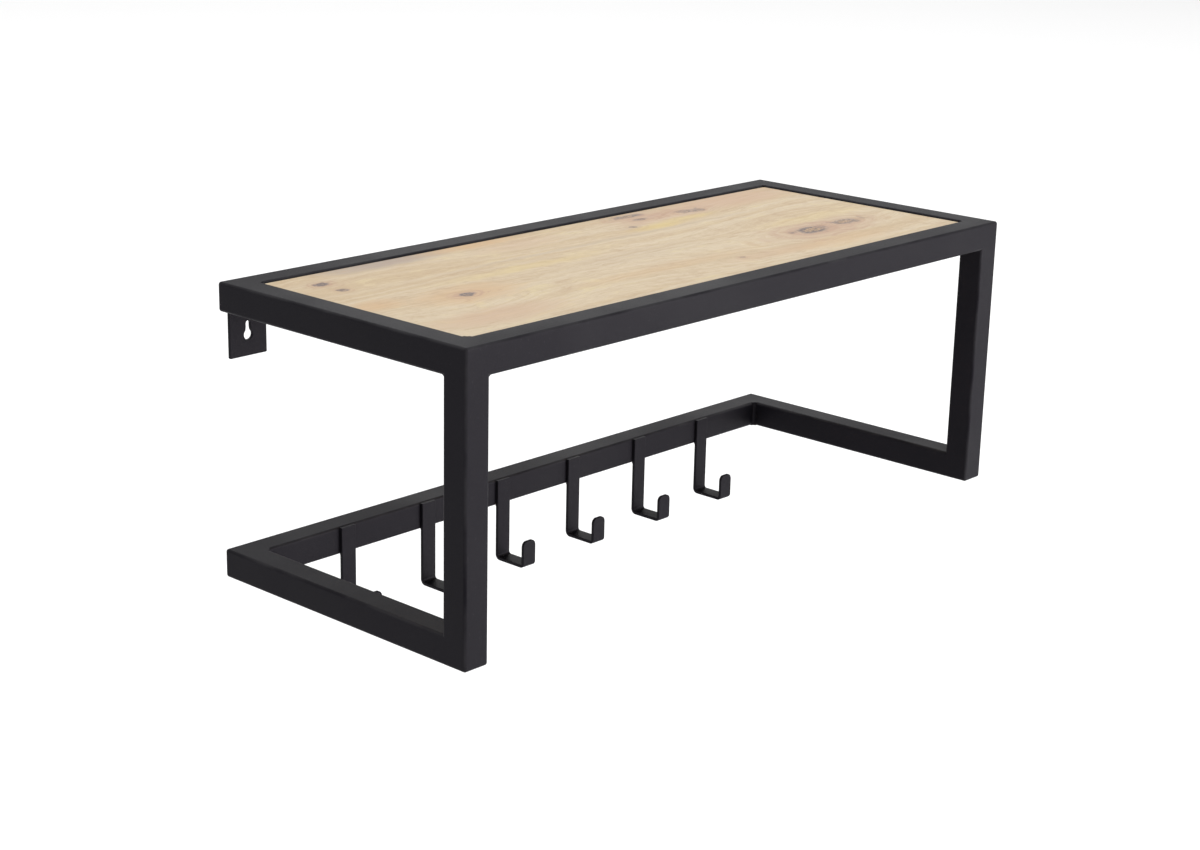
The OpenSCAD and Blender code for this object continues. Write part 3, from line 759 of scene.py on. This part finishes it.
def board_finish():
    """Clear lacquer over wood, in mm from the board's middle: streaks, stains and knots."""
    made, tree, shader, where = blank_finish("lacquered_softwood")
    placed = add(tree, "ShaderNodeMapping")
    tree.links.new(where, placed.inputs["Vector"])
    placed.inputs["Scale"].default_value = (1 / MM, 1 / MM, 1 / MM)
    placed.inputs["Location"].default_value = (0, frame_depth / 2 / MM, 0)
    x, y, z = parts(tree, first(placed))
    stray = noise(tree, first(placed), 0.07, 3)
    x = maths(tree, "ADD", x, between(tree, stray, 0.2, 0.8, -2.5, 2.5))
    stray = noise(tree, joined(tree, x, maths(tree, "ADD", y, 300.0), z), 0.05, 1)
    y = maths(tree, "ADD", y, between(tree, stray, 0.2, 0.8, -1.5, 1.5))
    drift = noise(tree, joined(tree, maths(tree, "MULTIPLY", x, 0.25), y, z), 0.012, 1)
    grain_y = maths(tree, "ADD", y, between(tree, drift, 0.2, 0.8, -20.0, 20.0))

    def apart(middle_x, middle_y, half_long, half_wide):
        """How far a point is from a spot: 0 at its middle and 1 at its rim, squared."""
        along = maths(tree, "MULTIPLY_ADD", x, 1 / half_long, -middle_x / half_long)
        across = maths(tree, "MULTIPLY_ADD", y, 1 / half_wide, -middle_y / half_wide)
        return maths(tree, "MULTIPLY_ADD", along, along, maths(tree, "MULTIPLY", across, across))

    spots = []
    for middle_x, middle_y, half_long, half_wide, dark in knots:
        far = apart(middle_x, middle_y, half_long, half_wide)
        # Only a large knot has a paler heart
        pale = 0.75 if half_long > 15 else 0.15
        spots.append((far, dark, pale))
        # The grain swings round the knot
        wide = apart(middle_x, middle_y, half_long * 2.6, half_wide * 2.0)
        swing = maths(tree, "DIVIDE", 0.9, maths(tree, "ADD", wide, 1.0))
        across = maths(tree, "SUBTRACT", y, float(middle_y))
        grain_y = maths(tree, "SUBTRACT", grain_y, maths(tree, "MULTIPLY", swing, across))

    def grain(long_scale, wide_scale, detail, rough=0.55):
        spread = joined(tree, maths(tree, "MULTIPLY", x, long_scale),
                        maths(tree, "MULTIPLY", grain_y, wide_scale),
                        maths(tree, "MULTIPLY", z, wide_scale))
        return noise(tree, spread, 1.0, detail, rough)

    bands = grain(0.0020, 0.055, 3)
    lines = grain(0.0032, 0.33, 3, 0.6)
    fibres = grain(0.022, 1.9, 3)
    pores = grain(0.10, 1.1, 2)
    mottle = grain(0.030, 0.075, 5, 0.7)
    checks = noise(tree, first(placed), 0.32, 3, 0.6)
    flecks = grain(0.10, 0.42, 4, 0.75)
    tone = mixed(tree, between(tree, bands, 0.34, 0.66), (0.507, 0.410, 0.277), (0.444, 0.327, 0.190))
    # Each layer of figure: what it follows, where it starts, where it is full, how strong it
    # gets and its colour
    figure = (
        (lines, 0.50, 0.74, 0.50, (0.386, 0.268, 0.153)),
        (lines, 0.48, 0.28, 0.40, (0.555, 0.459, 0.302)),
        (mottle, 0.50, 0.70, 0.70, (0.386, 0.268, 0.153)),
        (mottle, 0.48, 0.30, 0.65, (0.555, 0.459, 0.256)),
        (flecks, 0.50, 0.72, 0.50, (0.367, 0.256, 0.153)),
        (flecks, 0.50, 0.30, 0.40, (0.579, 0.483, 0.321)))
    for layer, starts, full, strength, colour in figure:
        tone = mixed(tree, between(tree, layer, starts, full, 0, strength), tone, colour)
    for middle_x, middle_y, half_long, half_wide, colour, strength in stains:
        far = apart(middle_x, middle_y, half_long, half_wide)
        patch = maths(tree, "ADD", far, maths(tree, "ADD", flecks, mottle))
        tone = mixed(tree, between(tree, patch, 0.8, 2.0, strength, 0), tone, colour)
    tone = mixed(tree, between(tree, fibres, 0.52, 0.75, 0, 0.40), tone, (0.39, 0.28, 0.175))
    tone = mixed(tree, between(tree, pores, 0.66, 0.78, 0, 0.45), tone, (0.31, 0.215, 0.14))
    for far, dark, pale in spots:
        ragged = maths(tree, "MULTIPLY", far, between(tree, mottle, 0.32, 0.68, 0.35, 2.4))
        ring = maths(tree, "SINE", maths(tree, "MULTIPLY", maths(tree, "SQRT", far), 7.0))
        halo = between(tree, ragged, 0.8, 12.0, 0.75 * dark, 0)
        halo = maths(tree, "MULTIPLY", halo, between(tree, ring, -1.0, 1.0, 0.45, 1.0))
        tone = mixed(tree, halo, tone, (0.37, 0.225, 0.145))
        tone = mixed(tree, between(tree, ragged, 0.5, 1.6, 0.90 * dark, 0), tone, (0.150, 0.105, 0.088))
        heart = between(tree, ragged, 0.08, 0.50, pale * dark, 0)
        tone = mixed(tree, heart, tone, (0.46, 0.29, 0.135))
        crack = between(tree, ragged, 0.4, 1.1, 1, 0)
        crack = maths(tree, "MULTIPLY", crack, between(tree, checks, 0.47, 0.56))
        tone = mixed(tree, maths(tree, "MULTIPLY", crack, 0.85 * dark), tone, (0.05, 0.04, 0.045))
    tree.links.new(tone, shader.inputs["Base Color"])
    tree.links.new(between(tree, fibres, 0.3, 0.7, 0.48, 0.62), shader.inputs["Roughness"])
    shader.inputs["Specular IOR Level"].default_value = 0.35
    raised = bump(tree, fibres, 0.05 * MM, bump(tree, lines, 0.03 * MM))
    tree.links.new(raised, shader.inputs["Normal"])
    return made


def board_edge(inset):
    """The board's outline.  A cut takes its depth off both sides of a corner."""
    x, y = board_long / 2 - inset, board_wide / 2 - inset
    soft = 0.6 * inset
    small, large = cut_corner - soft, cut_front_left - soft
    return [(x, small - y), (x, y - small), (x - small, y), (small - x, y),
            (-x, y - small), (-x, large - y), (large - x, -y), (x - small, -y)]


mesh = eased_sheet("shelf_board_wood", board_thick, board_ease, board_finish(), board_edge)
mesh.transform(Matrix.Translation((0, -frame_depth / 2, board_low.z)))
evened(fitted("lacquered_shelf_board", mesh, "shelf_board"))


# ---- Board screws --------------------------------------------------------------------
# Four zinc plated pan head screws with cross recesses come up through the tabs and
# hold the board down.  Their threads bite in the wood.

screw_low, screw_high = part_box("board_screws")
screw_length = screw_high.z - tab_under
screw_shank = 4 * MM
head_width = 2 * (screw_high.x - tab_x)
head_height = tab_under - screw_low.z


def zinc_plate():
    """Bright zinc: bluish silver with a faint yellow cast here and there, lightly brushed."""
    made, tree, shader, where = blank_finish("zinc_plate")
    cast = noise(tree, where, 180, 3)
    tone = mixed(tree, between(tree, cast, 0.35, 0.65), (0.60, 0.62, 0.66), (0.66, 0.64, 0.56))
    tree.links.new(tone, shader.inputs["Base Color"])
    shader.inputs["Metallic"].default_value = 1.0
    tree.links.new(between(tree, cast, 0.3, 0.7, 0.24, 0.40), shader.inputs["Roughness"])
    tree.links.new(bump(tree, noise(tree, where, 2500, 3), 0.02 * MM), shader.inputs["Normal"])
    return made


def screw_tree(finish):
    """Pan head screws, heads down, one at each corner of a rectangle."""
    tree, size = new_tree("pan_head_screws", {
        "Length": 0.014, "Shank": 0.004, "Head width": 0.008, "Head height": 0.0024,
        "Thread pitch": 0.0018, "Apart along": 0.45, "Apart across": 0.217})

    def moved(geometry, x=0.0, y=0.0, z=0.0, turn=0.0, scale=(1, 1, 1)):
        node = add(tree, "GeometryNodeTransform")
        tree.links.new(geometry, node.inputs["Geometry"])
        tree.links.new(joined(tree, x, y, z), node.inputs["Translation"])
        node.inputs["Rotation"].default_value = (0, 0, turn)
        node.inputs["Scale"].default_value = scale
        return first(node)

    def cylinder(radius, depth, sides, top_share=1.0):
        node = add(tree, "GeometryNodeMeshCone")
        node.inputs["Vertices"].default_value = sides
        tree.links.new(radius, node.inputs["Radius Bottom"])
        tree.links.new(maths(tree, "MULTIPLY", radius, top_share), node.inputs["Radius Top"])
        tree.links.new(depth, node.inputs["Depth"])
        return first(node)

    def cut(geometry, *cutters, operation="DIFFERENCE"):
        node = add(tree, "GeometryNodeMeshBoolean", operation=operation, solver="EXACT")
        base = node.inputs["Mesh 1"] if operation == "DIFFERENCE" else node.inputs["Mesh 2"]
        tree.links.new(geometry, base)
        for cutter in cutters:
            tree.links.new(cutter, node.inputs["Mesh 2"])
        return first(node)

    head_radius = maths(tree, "MULTIPLY", size["Head width"], 0.5)
    shank_radius = maths(tree, "MULTIPLY", size["Shank"], 0.5)

    def of_length(share):
        return maths(tree, "MULTIPLY", size["Length"], share)

    def of_shank(share):
        return maths(tree, "MULTIPLY", shank_radius, share)

    head_sides, shank_sides, pit_sides, steps_per_turn = 48, 24, 16, 20
    down = maths(tree, "MULTIPLY", size["Head height"], -1.0)
    drum = moved(cylinder(head_radius, size["Head height"], head_sides), z=down)
    # A ball flattened to the pan's crown leaves an eased rim
    ball_share, ball_flattened = 1.22, 0.492
    ball = add(tree, "GeometryNodeMeshUVSphere")
    ball.inputs["Segments"].default_value = head_sides
    ball.inputs["Rings"].default_value = 36
    tree.links.new(maths(tree, "MULTIPLY", head_radius, ball_share), ball.inputs["Radius"])
    crown = moved(first(ball), scale=(1, 1, ball_flattened))
    head = cut(drum, crown, operation="INTERSECT")
    # Two arms and a flared pit between them make the cross recess
    arm_width, pit_foot, pit_flare, pit_drop = 0.24, 0.25, 2.6, 1.35
    arm = add(tree, "GeometryNodeMeshCube")
    tree.links.new(joined(tree, size["Shank"], maths(tree, "MULTIPLY", size["Shank"], arm_width),
                          size["Head height"]), arm.inputs["Size"])
    cross = [moved(first(arm), z=down, turn=turn) for turn in (0.0, quarter_turn)]
    pit = moved(cylinder(of_shank(pit_foot), size["Head height"], pit_sides, pit_flare),
                z=maths(tree, "MULTIPLY", down, pit_drop))
    head = cut(head, *cross, pit)
    # The shank has a smooth neck, a thread that runs out at both ends, and a point.
    # These are shares of its radius, and then of its length.
    root, ridge_middle, ridge_size, tip = 0.72, 0.78, 0.20, 0.05
    shank_part, point_part, thread_part, neck_part = 0.86, 0.14, 0.72, 0.12
    run_out_part, run_out_size = 0.06, 0.15
    core = cylinder(of_shank(root), of_length(shank_part), shank_sides)
    point = cylinder(of_shank(root), of_length(point_part), shank_sides, tip)
    point = moved(point, z=of_length(shank_part))
    helix = add(tree, "GeometryNodeCurveSpiral")
    helix.inputs["Resolution"].default_value = steps_per_turn
    turns = maths(tree, "DIVIDE", of_length(thread_part), size["Thread pitch"])
    tree.links.new(turns, helix.inputs["Rotations"])
    for end in ("Start Radius", "End Radius"):
        tree.links.new(of_shank(ridge_middle), helix.inputs[end])
    tree.links.new(of_length(thread_part), helix.inputs["Height"])
    share = first(add(tree, "GeometryNodeSplineParameter"))
    run_out = maths(tree, "MINIMUM", share, maths(tree, "SUBTRACT", 1.0, share))
    run_out = between(tree, run_out, 0.0, run_out_part, run_out_size, 1.0)
    ridge = add(tree, "GeometryNodeCurvePrimitiveCircle", mode="RADIUS")
    ridge.inputs["Resolution"].default_value = 3
    tree.links.new(of_shank(ridge_size), ridge.inputs["Radius"])
    thread = add(tree, "GeometryNodeCurveToMesh", first(helix), first(ridge))
    tree.links.new(run_out, thread.inputs["Scale"])
    thread.inputs["Fill Caps"].default_value = True
    thread = moved(first(thread), z=of_length(neck_part))
    screw = add(tree, "GeometryNodeJoinGeometry")
    for piece in (head, core, point, thread):
        tree.links.new(piece, screw.inputs[0])
    grid = add(tree, "GeometryNodeMeshGrid")
    tree.links.new(size["Apart along"], grid.inputs["Size X"])
    tree.links.new(size["Apart across"], grid.inputs["Size Y"])
    grid.inputs["Vertices X"].default_value = 2
    grid.inputs["Vertices Y"].default_value = 2
    corners = first(add(tree, "GeometryNodeMeshToPoints", first(grid), mode="VERTICES"))
    # Each screw stops at a turn of its own, up to the number of radians in input 3
    turned = add(tree, "FunctionNodeRandomValue", data_type="FLOAT")
    turned.inputs[3].default_value = 3.0
    turned.inputs["Seed"].default_value = 4
    set_in = add(tree, "GeometryNodeInstanceOnPoints")
    tree.links.new(corners, set_in.inputs["Points"])
    tree.links.new(first(screw), set_in.inputs["Instance"])
    tree.links.new(joined(tree, 0.0, 0.0, turned.outputs[1]), set_in.inputs["Rotation"])
    close_tree(tree, first(set_in), finish)
    return tree


apart_across = frame_depth - 2 * tube_side - 2 * tab_hole_y
mesh = grown("pan_head_screws", screw_tree(zinc_plate()), {
    "Length": screw_length, "Shank": screw_shank, "Head width": head_width,
    "Head height": head_height, "Apart along": 2 * tab_x, "Apart across": apart_across})
mesh.transform(Matrix.Translation((0, -frame_depth / 2, tab_under)))
fitted("zinc_board_screws", mesh, "board_screws")


# ---- Camera --------------------------------------------------------------------------
# Stands in front of the rack's left end, a little above the shelf, and looks
# along the shelf to the right.  The picture is very slightly rolled.

camera_place = Vector((-1.4238, -1.4039, 0.4575))
heading, look_down, roll = (math.radians(a) for a in (47.593, 16.738, 1.279))
lens = 66.08
lens_frame = 36

camera = bpy.data.objects.new("camera", bpy.data.cameras.new("camera"))
scene.collection.objects.link(camera)
camera.data.sensor_width = lens_frame
camera.data.lens = lens
camera.data.clip_end = 60
camera.matrix_world = (
    Matrix.Translation(camera_place)
    @ Matrix.Rotation(-heading, 4, "Z")
    @ Matrix.Rotation(quarter_turn - look_down, 4, "X")
    @ Matrix.Rotation(roll, 4, "Z")
)
scene.camera = camera


# ---- Studio --------------------------------------------------------------------------
# A wide white floor well below the rack, a broad soft ceiling light, a low soft light
# at the front right and a weak one behind.  None of it is part of the rack.

floor_drop = 0.55
floor_reach = 30
rack_middle = Vector((0, -0.14, -0.08))
paint_white = 0.9
surround = 0.7

floor_z = cad_box[0].z - floor_drop
floor_mesh = bpy.data.meshes.new("floor")
floor_corners = [(x * floor_reach, y * floor_reach, floor_z)
                 for x, y in ((-1, -1), (1, -1), (1, 1), (-1, 1))]
floor_mesh.from_pydata(floor_corners, [], [(0, 1, 2, 3)])
floor = bpy.data.objects.new("floor", floor_mesh)
scene.collection.objects.link(floor)
floor_paint, _, floor_shader, _ = blank_finish("white_floor")
floor_shader.inputs["Base Color"].default_value = (paint_white, paint_white, paint_white, 1)
floor_shader.inputs["Roughness"].default_value = 0.9
floor_shader.inputs["Specular IOR Level"].default_value = 0.1
floor_mesh.materials.append(floor_paint)


def soft_light(name, place, width, height, power, aim=rack_middle):
    """A rectangular soft light that faces its aim and isn't seen itself.  Sizes in metres."""
    light = bpy.data.lights.new(name, "AREA")
    light.shape = "RECTANGLE"
    light.size, light.size_y = width, height
    light.energy = power
    lamp = bpy.data.objects.new(name, light)
    scene.collection.objects.link(lamp)
    lamp.location = place
    lamp.rotation_euler = (aim - Vector(place)).to_track_quat("-Z", "Y").to_euler()
    lamp.visible_camera = False


soft_light("front_right_softbox", (1.6, -2.9, 0.0), 2.2, 1.6, 105)
soft_light("back_right_softbox", (3.6, 2.8, 1.2), 3.0, 1.2, 14)
soft_light("ceiling_softbox", (0, 0, 7), 24, 24, 1300, aim=Vector((0, 0, 0)))

world = bpy.data.worlds.new("studio")
scene.world = world
world.use_nodes = True
white = world.node_tree.nodes["Background"]
white.inputs["Color"].default_value = (1, 1, 1, 1)
white.inputs["Strength"].default_value = surround
scene.view_settings.view_transform = "Standard"
